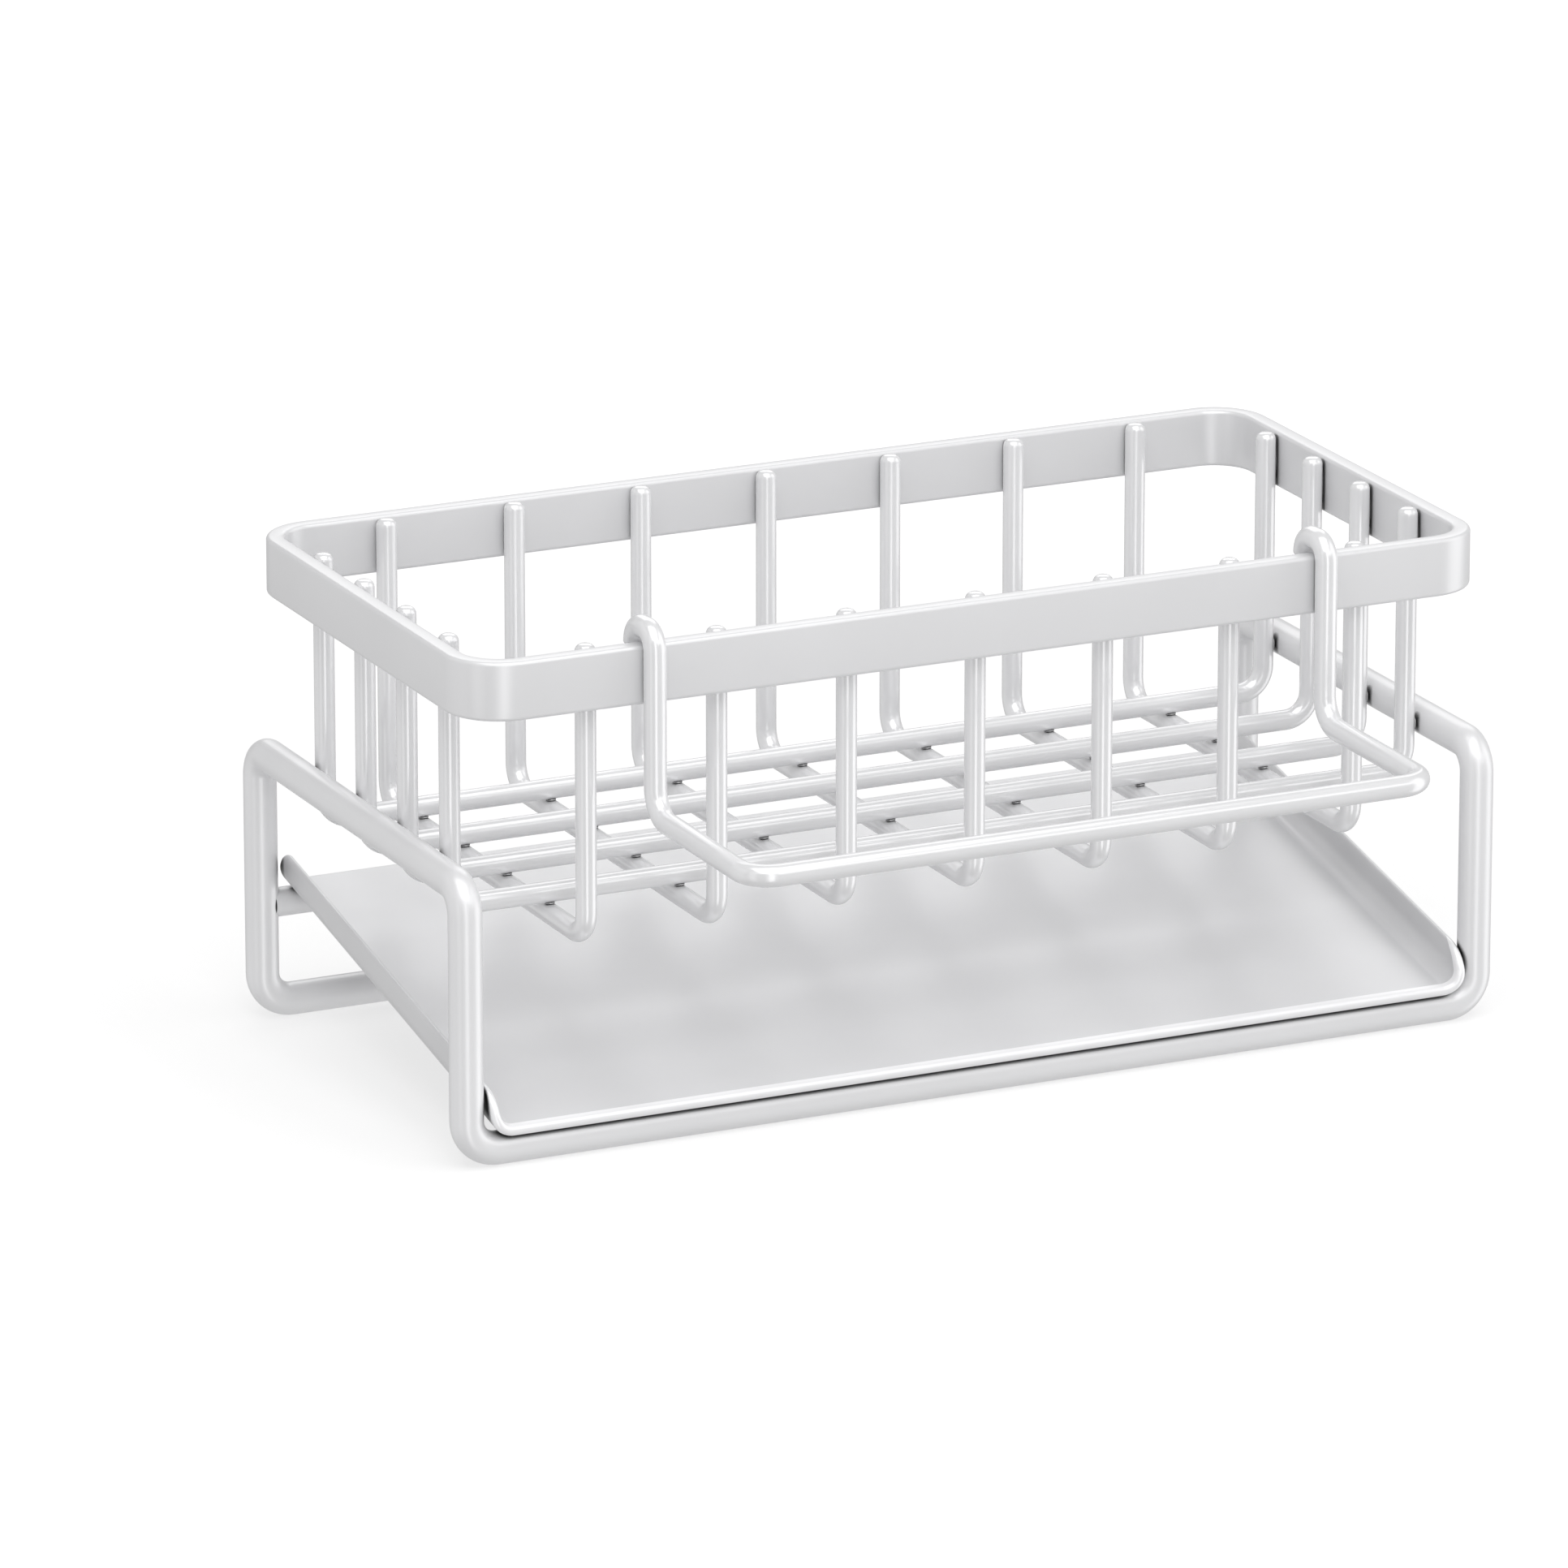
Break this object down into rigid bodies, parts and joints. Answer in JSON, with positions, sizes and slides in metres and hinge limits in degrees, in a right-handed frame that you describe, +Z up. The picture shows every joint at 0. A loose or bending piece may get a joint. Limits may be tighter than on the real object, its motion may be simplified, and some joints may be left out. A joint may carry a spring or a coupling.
{
  "type": "kitchen sink caddy",
  "caption": "Free-standing wire basket for sponges and brushes, on a bent-rod stand with a sloping slide-out drip tray and a lift-off bar for a cloth.",
  "frame": {"origin": "on the surface the caddy stands on, under the middle of its bounding box, cloth bar included", "axes": "+X to the right along the caddy's length as seen from the front, +Y to the rear, so the cloth bar is at -Y, +Z up"},
  "size_m": [0.23, 0.1594, 0.1082],
  "materials": {
    "frame_paint": "satin powder coat",
    "rim_paint": "satin powder coat",
    "wire_paint": "satin powder coat",
    "tray_paint": "satin powder coat",
    "cloth_bar_paint": "satin powder coat"
  },
  "bodies": {
    "stand": {"base_frame": "frame_paint", "tray_support_rod": "frame_paint", "rim_band": "rim_paint", "cross_wire_1": "wire_paint", "cross_wire_2": "wire_paint", "cross_wire_3": "wire_paint", "cross_wire_4": "wire_paint", "cross_wire_5": "wire_paint", "cross_wire_6": "wire_paint", "cross_wire_7": "wire_paint", "long_wire_1": "wire_paint", "long_wire_2": "wire_paint", "long_wire_3": "wire_paint", "long_wire_4": "wire_paint"},
    "tray": {"drip_tray": "tray_paint"},
    "cloth_bar": {"cloth_bar": "cloth_bar_paint"}
  },
  "joints": [
    {"name": "tray_slide", "type": "slide", "parent": "stand", "child": "tray", "axis": [0, -1, 0], "range_m": [0, 0.115]},
    {"name": "cloth_bar_lift", "type": "slide", "parent": "stand", "child": "cloth_bar", "axis": [0, 0, 1], "range_m": [0, 0.04]}
  ]
}
